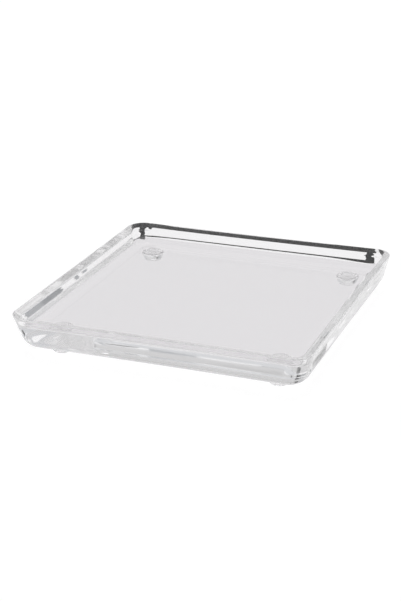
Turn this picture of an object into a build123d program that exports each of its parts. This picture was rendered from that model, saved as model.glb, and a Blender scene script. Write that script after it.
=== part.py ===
from build123d import *
from math import cos, radians, sin, tan
import os

# Square candle plate: a thick pressed-glass tray on four clear cushion feet.
# Millimetres, +Z up, origin on the surface it stands on, under the middle of the plate.

# Glass plate, outside
plate_side = 200.0             # over the rim, the widest part
plate_height = 23.7            # from the flat underside to the highest line of the rim
wall_lean = 10.8               # degrees that the outer wall leans in towards the foot
rim_corner_radius = 12.8       # plan radius of the corners at the rim
base_corner_radius = 16.7      # plan radius of the corners where the wall would meet the underside
base_edge_radius = 13.2        # big rounding from the wall into the underside

# Glass plate, rim
rim_width = 6.2                # from the widest part to the line where the rim would meet the inner wall
rim_slope = 20.0               # degrees that the top of the rim falls towards the tray
rim_rounding = 0.5             # crisp outer edge of the rim
mouth_rounding = 2.4           # softly melted inner edge of the rim

# Glass plate, tray
tray_depth = 7.8               # from the highest line of the rim to the floor of the tray
tray_draft = 3.9               # degrees that the inner wall leans, so that the plunger comes out
tray_edge_radius = 4.1         # rounding between the inner wall and the floor

# Cushion feet
foot_inset = 26.0              # from each side of the rim to the foot's axis
foot_top_diameter = 16.0       # against the plate
foot_bottom_diameter = 12.6    # on the table
foot_height = 5.2              # the cushion alone
foot_top_rounding = 0.5
foot_bottom_rounding = 1.2
foot_dimple_diameter = 6.0     # shallow moulding dimple in the standing face
foot_dimple_depth = 0.4

# Adhesive discs between the feet and the glass
disc_margin = 0.5              # bare edge of the foot's top left around the disc
disc_thickness = 0.3

# Clearance used by every cut that has to run past a face
overrun = 1.0

# Half of the band of heights in which the edges of one level are looked for
level_slack = 0.01

# Levels and sizes worked out from the ones above
disc_diameter = foot_top_diameter - 2 * disc_margin
disc_level = foot_height
glass_level = disc_level + disc_thickness
rim_level = glass_level + plate_height
tray_level = rim_level - tray_depth


def lean_over(height, degrees):
    """How far a wall moves sideways over a height when it leans by some degrees."""
    return height * tan(radians(degrees))


def melted_length():
    """How far from the sharp rim edge the rounding starts, along the wall and along the top."""
    edge_angle = radians(90 - wall_lean - rim_slope)
    return rim_rounding / tan(edge_angle / 2)


def melted_side():
    """How much the rounding takes off the width of the sharp rim edge."""
    lean = radians(wall_lean)
    return melted_length() * sin(lean) - rim_rounding * (1 - cos(lean))


def melted_top():
    """How much the rounding takes off the height of the sharp rim edge."""
    lean = radians(wall_lean)
    return melted_length() * cos(lean) - rim_rounding * (1 + sin(lean))


# The rim's edge and the tray's mouth as they would be with no rounding
sharp_side = plate_side + 2 * melted_side()
sharp_level = rim_level + melted_top()
mouth_side = plate_side - 2 * rim_width
mouth_radius = rim_corner_radius - rim_width
mouth_level = sharp_level - lean_over((sharp_side - mouth_side) / 2, rim_slope)


def rounded_square(side, radius, level):
    """A rounded square face, flat, at a level above the table."""
    return Plane.XY.offset(level) * RectangleRounded(side, side, radius)


def plate_blank():
    """The solid block of glass: a leaning wall with a generous bottom edge, left too tall at the rim."""
    sharp_height = sharp_level - glass_level
    share_above = overrun / sharp_height
    lower = rounded_square(
        sharp_side - 2 * lean_over(sharp_height, wall_lean), base_corner_radius, glass_level)
    upper = rounded_square(
        sharp_side + 2 * lean_over(overrun, wall_lean),
        rim_corner_radius + (rim_corner_radius - base_corner_radius) * share_above,
        sharp_level + overrun)
    block = loft([lower, upper], ruled=True)
    bottom_edges = block.faces().sort_by(Axis.Z)[0].edges()
    return fillet(bottom_edges, base_edge_radius)


def tray_hollow():
    """The hollow that the plunger leaves, rounded where the wall meets the floor."""
    draft = lean_over(mouth_level - tray_level, tray_draft)
    over = lean_over(overrun, tray_draft)
    lower = rounded_square(mouth_side - 2 * draft, mouth_radius - draft, tray_level)
    upper = rounded_square(mouth_side + 2 * over, mouth_radius + over, mouth_level + overrun)
    hollow = loft([lower, upper], ruled=True)
    floor_edges = hollow.faces().sort_by(Axis.Z)[0].edges()
    return fillet(floor_edges, tray_edge_radius)


def rim_flare():
    """What is taken off above the rim, so that its top falls towards the tray."""
    spread = overrun / tan(radians(rim_slope))
    lower = rounded_square(mouth_side, mouth_radius, mouth_level)
    upper = rounded_square(
        sharp_side + 2 * spread, rim_corner_radius + spread, sharp_level + overrun)
    return loft([lower, upper], ruled=True)


def ring_at(plate, level):
    """The edges of the plate that lie at one level."""
    return plate.edges().filter_by_position(Axis.Z, level - level_slack, level + level_slack)


def glass_plate():
    """The blank less the tray and the flare, with both edges of the rim melted round."""
    plate = plate_blank() - rim_flare() - tray_hollow()
    plate = fillet(ring_at(plate, mouth_level), mouth_rounding)
    return fillet(ring_at(plate, sharp_level), rim_rounding)


def cushion_foot():
    """One clear cushion foot at the origin, standing on its narrow end."""
    top = foot_top_diameter / 2
    bottom = foot_bottom_diameter / 2
    outline = make_face(Polyline(
        (0, 0), (bottom, 0), (top, foot_height), (0, foot_height), close=True))
    corners = outline.vertices().sort_by(Axis.X)
    outer = corners[-2:].sort_by(Axis.Y)
    outline = fillet(outer[1], foot_top_rounding)
    lower = outline.vertices().sort_by(Axis.Y)[:2].sort_by(Axis.X)[-1]
    outline = fillet(lower, foot_bottom_rounding)
    body = revolve(Plane.XZ * outline, Axis.Z)
    dimple_radius = foot_dimple_diameter / 2
    sphere_radius = (dimple_radius ** 2 + foot_dimple_depth ** 2) / (2 * foot_dimple_depth)
    dimple = Pos(0, 0, foot_dimple_depth - sphere_radius) * Sphere(sphere_radius)
    return body - dimple


def adhesive_disc():
    """The thin disc of clear adhesive that holds one foot to the glass."""
    return Pos(0, 0, disc_level + disc_thickness / 2) * Cylinder(disc_diameter / 2, disc_thickness)


def write(node, shape):
    export_step(shape, "parts/" + node + ".step")


os.makedirs("parts", exist_ok=True)
write("glass_plate", glass_plate())

foot_reach = plate_side / 2 - foot_inset
places = {
    "front_left": (-foot_reach, -foot_reach),
    "front_right": (foot_reach, -foot_reach),
    "back_left": (-foot_reach, foot_reach),
    "back_right": (foot_reach, foot_reach),
}
for corner, (x, y) in places.items():
    write("foot_" + corner, Pos(x, y, 0) * cushion_foot())
    write("adhesive_disc_" + corner, Pos(x, y, 0) * adhesive_disc())
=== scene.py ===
import math

import bpy
import numpy as np
from mathutils import Euler, Matrix, Vector


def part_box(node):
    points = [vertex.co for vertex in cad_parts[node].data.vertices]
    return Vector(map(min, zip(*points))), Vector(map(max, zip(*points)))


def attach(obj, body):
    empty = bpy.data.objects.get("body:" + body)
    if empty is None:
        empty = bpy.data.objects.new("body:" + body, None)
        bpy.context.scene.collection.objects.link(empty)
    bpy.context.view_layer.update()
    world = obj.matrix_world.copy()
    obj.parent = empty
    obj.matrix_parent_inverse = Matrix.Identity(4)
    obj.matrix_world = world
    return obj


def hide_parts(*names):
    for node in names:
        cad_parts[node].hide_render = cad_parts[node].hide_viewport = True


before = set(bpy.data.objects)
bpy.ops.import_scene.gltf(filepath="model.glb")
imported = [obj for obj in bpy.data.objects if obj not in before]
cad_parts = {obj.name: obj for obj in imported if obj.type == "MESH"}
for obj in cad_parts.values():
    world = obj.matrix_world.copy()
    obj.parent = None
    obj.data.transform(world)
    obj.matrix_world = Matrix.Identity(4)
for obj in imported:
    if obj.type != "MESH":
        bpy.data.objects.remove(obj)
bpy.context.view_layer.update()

# Square candle plate in clear pressed glass, on four clear cushion feet. Metres, in the frame of the CAD model.

MM = 0.001

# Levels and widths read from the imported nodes
plate_low, plate_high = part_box("glass_plate")
foot_low, foot_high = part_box("foot_front_left")
disc_low, disc_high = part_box("adhesive_disc_front_left")
HALF_SIDE = plate_high.x
RIM_LEVEL = plate_high.z
GLASS_LEVEL = plate_low.z
FOOT_REACH = (foot_high.x + foot_low.x) / -2
FEET = {
    "front_left": (-FOOT_REACH, -FOOT_REACH),
    "front_right": (FOOT_REACH, -FOOT_REACH),
    "back_left": (-FOOT_REACH, FOOT_REACH),
    "back_right": (FOOT_REACH, FOOT_REACH),
}

# Section of the glass, the same sizes as in the CAD model
WALL_LEAN = math.radians(10.8)
RIM_SLOPE = math.radians(20.0)
TRAY_DRAFT = math.radians(3.9)
RIM_WIDTH = 6.2 * MM
RIM_ROUNDING = 0.5 * MM
MOUTH_ROUNDING = 2.4 * MM
TRAY_DEPTH = 7.8 * MM
TRAY_EDGE_RADIUS = 4.1 * MM
BASE_EDGE_RADIUS = 13.2 * MM
RIM_CORNER_RADIUS = 12.8 * MM
BASE_CORNER_RADIUS = 16.7 * MM

# How far the middles of the sides are drawn in
FRONT_HOLLOW = 1.0 * MM
SIDE_HOLLOW = 0.3 * MM

# Cushion feet and their adhesive discs
FOOT_TOP_RADIUS = 8.0 * MM
FOOT_BOTTOM_RADIUS = 6.3 * MM
FOOT_TOP_ROUNDING = 0.5 * MM
FOOT_BOTTOM_ROUNDING = 1.2 * MM
DIMPLE_RADIUS = 3.0 * MM
DIMPLE_DEPTH = 0.4 * MM
DISC_ROUNDING = 0.1 * MM

# Hair's breadth of air between faces that touch, so that light meets them one at a time
FILM = 0.02 * MM

# Height of each slow wave that fire polish leaves
WAVE_HEIGHT = 0.004 * MM

# How far up the bottom rounding, as a share of its radius, the corners' plan centre is read
BASE_CENTRE_SHARE = 0.8

# Half width of the innermost ring of the glass, and radius of that of the round pieces
PLATE_MIDDLE = 2.0 * MM
ROUND_MIDDLE = 0.2 * MM

# Most of the half width that a plan centre may take, so that every ring keeps a corner radius
CENTRE_LIMIT = 0.96

# Points along each side and round each corner of the plate, and round a foot or a disc
SIDE_STEPS, CORNER_STEPS = 80, 24
ROUND_STEPS = 72


# Shapes


def rounded_section(corners, steps):
    """Section line through corners given as (half width, level, radius, plan centre).

    Each corner with a radius becomes an arc tangent to both of its sides. The arc starts at the corner plus
    the radius over the tangent of half the corner's angle along the first side, and its points are the
    circle's centre plus the radius times (cos, sin) of evenly spaced angles.
    """
    points = np.array([c[:2] for c in corners])
    pieces = [np.array([[*corners[0][:2], corners[0][3]]])]
    for before, corner, after, count in zip(points, corners[1:-1], points[2:], steps):
        here, radius, centre_line = np.array(corner[:2]), corner[2], corner[3]
        to_before = (before - here) / np.linalg.norm(before - here)
        to_after = (after - here) / np.linalg.norm(after - here)
        half_angle = math.acos(float(to_before @ to_after)) / 2
        reach = radius / math.tan(half_angle)
        bisector = (to_before + to_after) / np.linalg.norm(to_before + to_after)
        centre = here + bisector * radius / math.sin(half_angle)
        start = here + to_before * reach - centre
        end = here + to_after * reach - centre
        share = np.linspace(0, 1, count + 1)[:, None]
        turn = math.pi - 2 * half_angle
        arc = (np.sin((1 - share) * turn) * start + np.sin(share * turn) * end) / math.sin(turn)
        pieces.append(np.hstack([centre + arc, np.full((count + 1, 1), centre_line)]))
    pieces.append(np.array([[*corners[-1][:2], corners[-1][3]]]))
    return pieces


def joined(pieces, runs):
    """The arcs of a section with evenly spaced points on the straight runs between them."""
    out = [pieces[0]]
    for first, second, count in zip(pieces, pieces[1:], runs):
        share = np.linspace(0, 1, count + 1)[1:-1, None]
        out += [first[-1] + (second[0] - first[-1]) * share, second]
    return np.vstack(out)


def plate_section():
    """Half width, level and plan centre of the glass, from the middle of the underside round to the tray's middle.

    The rim's outer edge is where the leaning wall and the sloping top would meet: it lies outside the widest
    part and above the highest line by what its rounding takes off.
    """
    melted = RIM_ROUNDING / math.tan((math.pi / 2 - WALL_LEAN - RIM_SLOPE) / 2)
    sharp = HALF_SIDE + melted * math.sin(WALL_LEAN) - RIM_ROUNDING * (1 - math.cos(WALL_LEAN))
    sharp_level = RIM_LEVEL + melted * math.cos(WALL_LEAN) - RIM_ROUNDING * (1 + math.sin(WALL_LEAN))
    height = sharp_level - GLASS_LEVEL
    lean = height * math.tan(WALL_LEAN)
    mouth = HALF_SIDE - RIM_WIDTH
    mouth_level = sharp_level - (sharp - mouth) * math.tan(RIM_SLOPE)
    tray_level = RIM_LEVEL - TRAY_DEPTH
    draft = (mouth_level - tray_level) * math.tan(TRAY_DRAFT)
    rim_centre = sharp - RIM_CORNER_RADIUS
    base_centre = sharp - lean - BASE_CORNER_RADIUS
    low_centre = base_centre + (rim_centre - base_centre) * BASE_EDGE_RADIUS * BASE_CENTRE_SHARE / height
    tray_centre = mouth - (RIM_CORNER_RADIUS - RIM_WIDTH)
    corners = [
        (0, GLASS_LEVEL, 0, 0),
        (sharp - lean, GLASS_LEVEL, BASE_EDGE_RADIUS, low_centre),
        (sharp, sharp_level, RIM_ROUNDING, rim_centre),
        (mouth, mouth_level, MOUTH_ROUNDING, tray_centre),
        (mouth - draft, tray_level, TRAY_EDGE_RADIUS, tray_centre),
        (0, tray_level, 0, 0),
    ]
    return joined(rounded_section(corners, (20, 8, 12, 12)), (14, 7, 5, 2, 18))


def square_rings(section, side_count, corner_count):
    """Rounded squares stacked along a section, as an array of rings by points by 3.

    A point of a quarter ring is (c + r cos t, c u + r sin t), where c is the plan centre, r the half width less c,
    u runs from -1 to 1 along the side with t at 0, and t then runs through a right angle with u at 1. The other
    quarters are the same points turned by 90, 180 and 270 degrees.
    """
    u = np.concatenate([np.linspace(-1, 1, side_count, endpoint=False), np.ones(corner_count)])
    t = np.concatenate([np.zeros(side_count), np.linspace(0, math.pi / 2, corner_count, endpoint=False)])
    half, level, centre = (section[:, i, None] for i in range(3))
    radius = half - centre
    x = centre + radius * np.cos(t)
    y = centre * u + radius * np.sin(t)
    quarters = [(x, y), (-y, x), (-x, -y), (y, -x)]
    around_x = np.concatenate([q[0] for q in quarters], axis=1)
    around_y = np.concatenate([q[1] for q in quarters], axis=1)
    return np.stack([around_x, around_y, np.broadcast_to(level, around_x.shape)], axis=-1)


def ring_normals(rings):
    """Unit normals of a ring grid: the cross product of its steps around and along, at every point."""
    around = np.roll(rings, -1, axis=1) - np.roll(rings, 1, axis=1)
    along = np.gradient(rings, axis=0)
    normal = np.cross(around, along)
    return normal / np.maximum(np.linalg.norm(normal, axis=-1, keepdims=True), 1e-12)


def closed_mesh(name, rings):
    """A closed mesh from rings: four-sided faces between neighbours, and a fan to the middle of the first and last."""
    count, size, _ = rings.shape
    middles = np.array([rings[0].mean(axis=0), rings[-1].mean(axis=0)])
    points = np.vstack([rings.reshape(-1, 3), middles])
    ring, step = np.meshgrid(np.arange(count - 1), np.arange(size), indexing="ij")
    here, beside = ring * size + step, ring * size + (step + 1) % size
    quads = np.stack([here, beside, beside + size, here + size], axis=-1).reshape(-1, 4)
    edge, next_edge = np.arange(size), (np.arange(size) + 1) % size
    last = (count - 1) * size
    low_fan = np.stack([np.full(size, count * size), next_edge, edge], axis=-1)
    high_fan = np.stack([np.full(size, count * size + 1), last + edge, last + next_edge], axis=-1)
    mesh = bpy.data.meshes.new(name)
    mesh.from_pydata(points.tolist(), [], quads.tolist() + low_fan.tolist() + high_fan.tolist())
    mesh.polygons.foreach_set("use_smooth", np.ones(len(mesh.polygons), dtype=bool))
    mesh.update()
    piece = bpy.data.objects.new(name, mesh)
    bpy.context.scene.collection.objects.link(piece)
    return piece


def fire_polish(rings):
    """How far each point of pressed glass lies off the true surface: a few crossed slow waves, added up."""
    x, y, z = (rings[..., i] / MM for i in range(3))
    waves = np.sin(x / 9.1 + y / 7.3 + 1.3) + np.sin(y / 11.7 - z / 5.2 + 0.4)
    waves += np.sin(x / 13.3 - z / 4.1 + 2.2) + 0.6 * np.sin(x / 4.7 + y / 5.9 + z / 3.3)
    return waves[..., None] * WAVE_HEIGHT


def drawn_in(rings):
    """Sides that cooling has drawn in a little: each coordinate shrinks by a share that falls off as one less the
    square of the other coordinate over the half side, so the corners stay where they are."""
    x, y = rings[..., 0] / HALF_SIDE, rings[..., 1] / HALF_SIDE
    shrunk = rings.copy()
    shrunk[..., 0] *= 1 - SIDE_HOLLOW / HALF_SIDE * (1 - y**2)
    shrunk[..., 1] *= 1 - FRONT_HOLLOW / HALF_SIDE * (1 - x**2)
    return shrunk


def glass_plate():
    """The pressed plate. Its first and last rings are small and get closed by a fan, and its faces are pressed in
    by the slight waves of fire polish, so that nothing passes the true surface."""
    section = plate_section()
    section[0, 0] = section[-1, 0] = PLATE_MIDDLE
    section[:, 2] = np.where(section[:, 2] == 0, section[:, 0] * 0.5, section[:, 2])
    section[:, 2] = np.minimum(section[:, 2], section[:, 0] * CENTRE_LIMIT)
    rings = square_rings(section, SIDE_STEPS, CORNER_STEPS)
    rings = drawn_in(rings - ring_normals(rings) * np.abs(fire_polish(rings)))
    return closed_mesh("pressed_glass", rings)


def turned_piece(name, section, place):
    """A round piece: every point of the section goes round the upright axis at its place as (r cos t, r sin t)."""
    t = np.linspace(0, 2 * math.pi, ROUND_STEPS, endpoint=False)
    radius, level = section[:, 0, None], section[:, 1, None]
    x = place[0] + radius * np.cos(t)
    y = place[1] + radius * np.sin(t)
    return closed_mesh(name, np.stack([x, y, np.broadcast_to(level, x.shape)], axis=-1))


def cushion_foot(corner):
    """A tapered cushion, rounded at both ends, with a shallow dimple in the face that it stands on."""
    top = foot_high.z - FILM
    corners = [
        (0, DIMPLE_DEPTH, 0, 0),
        (DIMPLE_RADIUS * 0.5, DIMPLE_DEPTH * 0.9, DIMPLE_RADIUS * 2, 0),
        (DIMPLE_RADIUS, 0, DIMPLE_DEPTH, 0),
        (FOOT_BOTTOM_RADIUS, 0, FOOT_BOTTOM_ROUNDING, 0),
        (FOOT_TOP_RADIUS, top, FOOT_TOP_ROUNDING, 0),
        (0, top, 0, 0),
    ]
    section = joined(rounded_section(corners, (4, 4, 8, 6)), (3, 2, 3, 5, 8))
    section[0, 0] = section[-1, 0] = ROUND_MIDDLE
    return turned_piece("cushion_" + corner, section, FEET[corner])


def adhesive_disc(corner):
    """The thin clear film between a foot and the glass."""
    radius = disc_high.x - (disc_high.x + disc_low.x) / 2
    corners = [
        (0, disc_low.z, 0, 0),
        (radius, disc_low.z, DISC_ROUNDING, 0),
        (radius, disc_high.z - FILM, DISC_ROUNDING, 0),
        (0, disc_high.z - FILM, 0, 0),
    ]
    section = joined(rounded_section(corners, (4, 4)), (8, 1, 8))
    section[0, 0] = section[-1, 0] = ROUND_MIDDLE
    return turned_piece("film_" + corner, section, FEET[corner])


# Finishes


def new_finish(name):
    """A material and its shader."""
    finish = bpy.data.materials.new(name)
    finish.use_nodes = True
    return finish, finish.node_tree.nodes["Principled BSDF"]


def object_place(finish):
    """The object's own coordinates, for the patterns of a finish."""
    return finish.node_tree.nodes.new("ShaderNodeTexCoord").outputs["Object"]


def noise(finish, place, scale, detail=2.0, roughness=0.5):
    node = finish.node_tree.nodes.new("ShaderNodeTexNoise")
    node.inputs["Scale"].default_value = scale
    node.inputs["Detail"].default_value = detail
    node.inputs["Roughness"].default_value = roughness
    finish.node_tree.links.new(place, node.inputs["Vector"])
    return node.outputs["Fac"]


def ramp(finish, value, low, high):
    """A noise value spread between two colours or two numbers."""
    node = finish.node_tree.nodes.new("ShaderNodeMapRange")
    node.inputs["From Min"].default_value = 0.3
    node.inputs["From Max"].default_value = 0.7
    node.inputs["To Min"].default_value = low
    node.inputs["To Max"].default_value = high
    finish.node_tree.links.new(value, node.inputs["Value"])
    return node.outputs["Result"]


def mixed(finish, value, first, second):
    node = finish.node_tree.nodes.new("ShaderNodeMix")
    node.data_type = "RGBA"
    node.inputs["A"].default_value = (*first, 1)
    node.inputs["B"].default_value = (*second, 1)
    finish.node_tree.links.new(value, node.inputs["Factor"])
    return node.outputs["Result"]


def bumped(finish, shader, value, strength, distance):
    node = finish.node_tree.nodes.new("ShaderNodeBump")
    node.inputs["Strength"].default_value = strength
    node.inputs["Distance"].default_value = distance
    finish.node_tree.links.new(value, node.inputs["Height"])
    finish.node_tree.links.new(node.outputs["Normal"], shader.inputs["Normal"])


def clear_glass():
    """Colourless pressed glass: almost no tint, a hint of haze, and the slow ripple of fire polish."""
    finish, shader = new_finish("clear_pressed_glass")
    place = object_place(finish)
    shader.inputs["Transmission Weight"].default_value = 1.0
    shader.inputs["IOR"].default_value = 1.52
    tint = mixed(finish, noise(finish, place, 14.0), (0.89, 0.884, 0.893), (0.9, 0.894, 0.902))
    finish.node_tree.links.new(tint, shader.inputs["Base Color"])
    haze = ramp(finish, noise(finish, place, 40.0), 0.035, 0.05)
    finish.node_tree.links.new(haze, shader.inputs["Roughness"])
    bumped(finish, shader, noise(finish, place, 45.0, detail=1.0), 0.1, 0.0002)
    return finish


def clear_rubber():
    """Soft clear polyurethane: slightly milky, satin, with a fine moulding texture."""
    finish, shader = new_finish("clear_soft_rubber")
    place = object_place(finish)
    shader.inputs["Transmission Weight"].default_value = 0.96
    shader.inputs["IOR"].default_value = 1.49
    colour = mixed(finish, noise(finish, place, 300.0), (0.96, 0.965, 0.97), (1.0, 1.0, 1.0))
    finish.node_tree.links.new(colour, shader.inputs["Base Color"])
    satin = ramp(finish, noise(finish, place, 500.0), 0.04, 0.1)
    finish.node_tree.links.new(satin, shader.inputs["Roughness"])
    bumped(finish, shader, noise(finish, place, 900.0), 0.15, 0.00005)
    return finish


def clear_adhesive():
    """Clear acrylic film with the tiny trapped bubbles that pressure leaves."""
    finish, shader = new_finish("clear_adhesive_film")
    place = object_place(finish)
    shader.inputs["Transmission Weight"].default_value = 0.97
    shader.inputs["IOR"].default_value = 1.47
    colour = mixed(finish, noise(finish, place, 1200.0), (0.97, 0.97, 0.965), (1.0, 1.0, 1.0))
    finish.node_tree.links.new(colour, shader.inputs["Base Color"])
    haze = ramp(finish, noise(finish, place, 1500.0), 0.03, 0.12)
    finish.node_tree.links.new(haze, shader.inputs["Roughness"])
    return finish


def dress(piece, finish, node):
    """Gives a piece its finish and its body, and hides the CAD node that it stands for."""
    piece.data.materials.clear()
    piece.data.materials.append(finish)
    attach(piece, "root")
    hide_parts(node)


# Camera

CAMERA_AZIMUTH = math.radians(21.543)
CAMERA_ELEVATION = math.radians(22.5)
CAMERA_ROLL = math.radians(-0.845)
CAMERA_DISTANCE = 0.951634
FOCAL_LENGTH = 1411.573          # in pixels of the photograph's frame
SHIFT_RIGHT, SHIFT_UP = -10.143, 14.379
LONG_SIDE = 601


def place_camera():
    """The photograph's viewpoint: straight back from the plate's middle along the viewing direction."""
    data = bpy.data.cameras.new("photo_camera")
    data.sensor_fit = "AUTO"
    data.sensor_width = 36.0
    data.lens = FOCAL_LENGTH * data.sensor_width / LONG_SIDE
    data.shift_x = SHIFT_RIGHT / LONG_SIDE
    data.shift_y = SHIFT_UP / LONG_SIDE
    data.clip_start, data.clip_end = 0.01, 100.0
    camera = bpy.data.objects.new("photo_camera", data)
    bpy.context.scene.collection.objects.link(camera)
    flat = math.cos(CAMERA_ELEVATION)
    back = Vector((
        math.sin(CAMERA_AZIMUTH) * flat, -math.cos(CAMERA_AZIMUTH) * flat, math.sin(CAMERA_ELEVATION)))
    camera.location = back * CAMERA_DISTANCE + Vector((0, 0, GLASS_LEVEL))
    turned = Euler((math.pi / 2 - CAMERA_ELEVATION, 0, CAMERA_AZIMUTH)).to_matrix()
    camera.rotation_euler = (turned @ Matrix.Rotation(CAMERA_ROLL, 3, "Z")).to_euler()
    bpy.context.scene.camera = camera


# Floor and light


# Floor: how far it reaches each way, its own tone, and how strongly it glows
FLOOR_REACH = 4.0
FLOOR_TONE = 0.3
FLOOR_GLOW = 0.8


def pale_floor():
    """A plain pale floor that glows like a light table, a hair below the feet and wide enough to fill the view."""
    far = FLOOR_REACH
    corners = [(-far, -far, -FILM), (far, -far, -FILM), (far, far, -FILM), (-far, far, -FILM)]
    mesh = bpy.data.meshes.new("floor")
    mesh.from_pydata(corners, [], [(0, 1, 2, 3)])
    floor = bpy.data.objects.new("floor", mesh)
    bpy.context.scene.collection.objects.link(floor)
    finish, shader = new_finish("pale_floor")
    shader.inputs["Base Color"].default_value = (FLOOR_TONE, FLOOR_TONE, FLOOR_TONE, 1)
    shader.inputs["Roughness"].default_value = 0.9
    shader.inputs["Specular IOR Level"].default_value = 0.0
    shader.inputs["Emission Color"].default_value = (1, 1, 1, 1)
    shader.inputs["Emission Strength"].default_value = FLOOR_GLOW
    mesh.materials.append(finish)


# Brightness of the studio at a few heights above the horizon, as (sine of the elevation, brightness)
SKY_STOPS = [
    (0.0, 0.7), (0.13, 0.7), (0.16, 0.55), (0.25, 0.55), (0.28, 0.75), (0.42, 0.65),
    (0.46, 0.6), (0.58, 0.62), (0.7, 0.66), (0.97, 0.66), (0.985, 2.4), (1.0, 2.4),
]


def studio_light():
    """Soft light from even grey walls and a small bright patch of ceiling, the same all the way round."""
    world = bpy.data.worlds.new("soft_studio")
    bpy.context.scene.world = world
    world.use_nodes = True
    nodes, links = world.node_tree.nodes, world.node_tree.links
    place = nodes.new("ShaderNodeTexCoord")
    split = nodes.new("ShaderNodeSeparateXYZ")
    sky = nodes.new("ShaderNodeValToRGB")
    background = nodes["Background"]
    top = max(value for _, value in SKY_STOPS)
    while len(sky.color_ramp.elements) < len(SKY_STOPS):
        sky.color_ramp.elements.new(1.0)
    for element, (height, value) in zip(sky.color_ramp.elements, SKY_STOPS):
        element.position = height
        element.color = (value / top, value / top, value / top, 1)
    links.new(place.outputs["Generated"], split.inputs["Vector"])
    links.new(split.outputs["Z"], sky.inputs["Fac"])
    links.new(sky.outputs["Color"], background.inputs["Color"])
    background.inputs["Strength"].default_value = top


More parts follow.
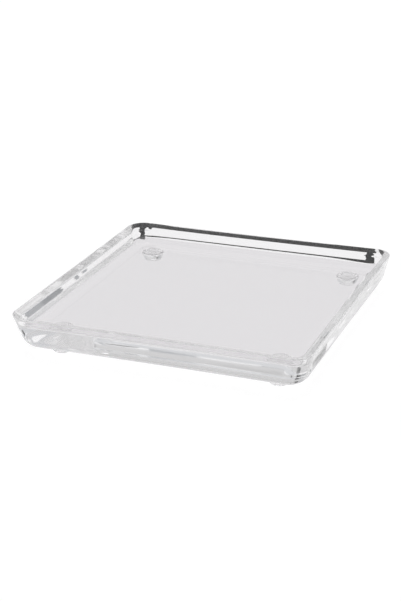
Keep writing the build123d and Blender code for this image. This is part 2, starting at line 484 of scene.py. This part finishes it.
# Cards round the glass, as name: (tone, corners in mm). No camera sees them, only the glass does. They are placed
# for the photograph's viewpoint, where they make the dark lines in the rim and walls, and not for other angles
FLAT = 0.2
FLAGS = {
    # Painted shadow: this glowing card stands for the plate's shade on the floor beneath it, a little darker than the
    # floor round it, and only the glass shows it
    "shadow_under_plate": ((0.88, 0.868, 0.882), [
        (-100, -100, 0.1), (100, -100, 0.1), (100, 101, 0.1), (-100, 101, 0.1)]),
    "near_back": (0.72, [(-140, 185, 0.1), (75, 185, 0.1), (60, 330, 0.1), (-110, 330, 0.1)]),
    # Painted shadow: this card and the next two are black sheets on the floor where the plate's walls cast a dark band
    # just behind it and round its back corners
    "back": (0.0, [
        (-97, 104, FLAT), (-88, 106, FLAT), (-80, 109.5, FLAT), (-74, 110, FLAT), (-9, 110.5, FLAT),
        (46, 110.5, FLAT), (60, 107, FLAT), (70, 103.5, FLAT), (80, 101.5, FLAT), (79, 119, FLAT),
        (46, 119, FLAT), (-9, 118.5, FLAT), (-74, 117, FLAT), (-97, 114, FLAT)]),
    "back_right": (0.02, [
        (79, 101.5, FLAT), (81, 101.5, FLAT), (78, 119, FLAT), (76, 131, FLAT), (73, 147, FLAT),
        (63, 182, FLAT), (57, 182, FLAT), (62, 168, FLAT), (70, 137, FLAT), (74, 117, FLAT)]),
    "back_left": (0.02, [
        (-98, 98, FLAT), (-91, 98.5, FLAT), (-92, 110, FLAT), (-97, 117, FLAT), (-99.5, 125, FLAT),
        (-102.5, 135, FLAT), (-105.5, 142, FLAT), (-110, 151, FLAT), (-115.5, 166, FLAT), (-122, 184, FLAT),
        (-129, 201, FLAT), (-137, 206, FLAT), (-155, 206, FLAT),
        (-149, 182, FLAT), (-113, 135, FLAT), (-107, 124, FLAT), (-103, 114, FLAT), (-95, 100, FLAT)]),
    "far_left": (0.0, [
        (-197, 234, FLAT), (-204, 280, FLAT), (-258, 385, FLAT), (-420, 660, FLAT), (-1470, 2600, FLAT),
        (-1610, 2580, FLAT), (-470, 660, FLAT), (-284, 388, FLAT), (-230, 290, FLAT), (-210, 236, FLAT)]),
    "far_back": (0.5, [
        (-112, 238, FLAT), (-92, 280, FLAT), (-92, 304, FLAT), (-124, 388, FLAT), (-200, 626, FLAT),
        (-700, 1900, FLAT), (-1100, 1900, FLAT), (-285, 648, FLAT), (-175, 393, FLAT), (-130, 281, FLAT)]),
    "far_middle": (0.52, [
        (-50, 370, FLAT), (-20, 370, FLAT), (-30, 420, FLAT), (-95, 654, FLAT), (-380, 1600, FLAT),
        (-520, 1600, FLAT), (-140, 654, FLAT), (-66, 420, FLAT)]),
    "far_front": (0.45, [
        (-12, 345, FLAT), (15, 345, FLAT), (75, 520, FLAT), (185, 900, FLAT), (135, 900, FLAT), (20, 520, FLAT)]),
    "left_upper": (0.3, [(-142, 6, FLAT), (-142, 38, FLAT), (-101, -4, FLAT), (-101, -32, FLAT)]),
    "left_lower": (0.42, [(-142, -20, FLAT), (-142, 6, FLAT), (-101, -32, FLAT), (-101, -56, FLAT)]),
    "left_strip": (0.4, [(-142, 83, FLAT), (-117, 50, FLAT), (-120, 46, FLAT), (-142, 75, FLAT)]),
    "left_thread": (0.4, [(-142, 67, FLAT), (-106, 26, FLAT), (-109, 24, FLAT), (-142, 60, FLAT)]),
    "corner": (0.08, [
        (-126, 250, 0.3), (-152, 250, 0.3), (-222, 345, 0.3), (-188, 350, 0.3), (-142, 285, 0.3)]),
    "tall_left": (0.0, [
        (-2180, 2060, 0), (-1850, 2360, 0), (-1850, 2360, 1050), (-2180, 2060, 1050)]),
    "tall_middle": (0.38, [
        (-2700, 1310, 0), (-2190, 2050, 0), (-2190, 2050, 1000), (-2700, 1310, 1000)]),
    "tall_thin": (0.0, [
        (-1530, 2580, 0), (-1450, 2630, 0), (-1450, 2630, 300), (-1530, 2580, 300)]),
    "tall_right": (0.02, [
        (420, 2970, 300), (730, 2910, 300), (730, 2910, 800), (420, 2970, 800)]),
    "tall_grey": (0.66, [
        (300, 3300, 0), (2300, 3300, 0), (2300, 3300, 2600), (300, 3300, 2600)]),
}


# How much bluer and greener than neutral a dark card is. Its tone goes back to neutral as it nears white
COOL_GREEN, COOL_BLUE = 0.06, 0.12


def card_colour(tone):
    """The colour of a card: as given, or a grey that is cool where it is dark."""
    if isinstance(tone, tuple):
        return tone
    green = tone * (1 + COOL_GREEN - COOL_GREEN * tone)
    blue = tone * (1 + COOL_BLUE - COOL_BLUE * tone)
    return tone, green, blue


def set_flag(name, tone, corners):
    """One plain card at its corners. It only gives out its own even tone, and nothing shines on it."""
    finish, shader = new_finish("flag_" + name)
    shader.inputs["Base Color"].default_value = (0, 0, 0, 1)
    shader.inputs["Specular IOR Level"].default_value = 0.0
    shader.inputs["Emission Color"].default_value = (*card_colour(tone), 1)
    shader.inputs["Emission Strength"].default_value = 1.0
    mesh = bpy.data.meshes.new("flag_" + name)
    points = [(x * MM, y * MM, z * MM) for x, y, z in corners]
    mesh.from_pydata(points, [], [tuple(range(len(points)))])
    mesh.materials.append(finish)
    flag = bpy.data.objects.new("flag_" + name, mesh)
    bpy.context.scene.collection.objects.link(flag)
    flag.visible_camera = False
    flag.visible_diffuse = False
    flag.visible_shadow = False


# Enough bounces for light that runs along inside the glass
LIGHT_BOUNCES = 24

glass_piece = glass_plate()
dress(glass_piece, clear_glass(), "glass_plate")

rubber, adhesive = clear_rubber(), clear_adhesive()
for corner in FEET:
    dress(cushion_foot(corner), rubber, "foot_" + corner)
    dress(adhesive_disc(corner), adhesive, "adhesive_disc_" + corner)

place_camera()
pale_floor()
studio_light()
for name, (tone, corners) in FLAGS.items():
    set_flag(name, tone, corners)

scene = bpy.context.scene
scene.view_settings.view_transform = "Standard"
scene.cycles.use_denoising = True
scene.cycles.blur_glossy = 0.0
scene.cycles.max_bounces = LIGHT_BOUNCES
scene.cycles.transmission_bounces = LIGHT_BOUNCES
scene.cycles.glossy_bounces = LIGHT_BOUNCES
